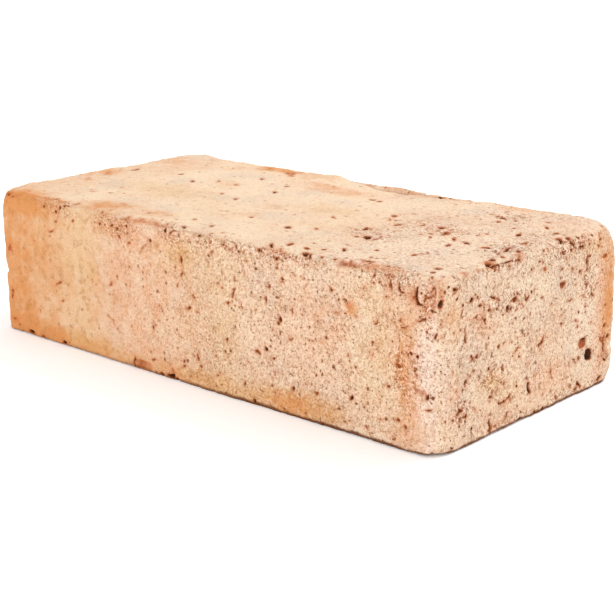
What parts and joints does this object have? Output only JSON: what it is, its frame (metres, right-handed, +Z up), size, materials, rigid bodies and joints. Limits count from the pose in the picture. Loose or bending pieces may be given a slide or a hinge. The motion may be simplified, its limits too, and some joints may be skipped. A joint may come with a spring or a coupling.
{
  "type": "brick",
  "caption": "Solid common clay brick with flat beds, rounded arrises, chipped corners and small stone holes",
  "frame": {"origin": "centre of the lower bed, on the floor the brick lies on", "axes": "+X along the length towards the end face with the stone holes, +Y across the width towards the back, +Z up through the height"},
  "size_m": [0.25, 0.12, 0.065],
  "materials": {
    "fired_clay": "matt, sandy and pitted"
  },
  "bodies": {
    "root": {"brick": "fired_clay"}
  },
  "joints": []
}
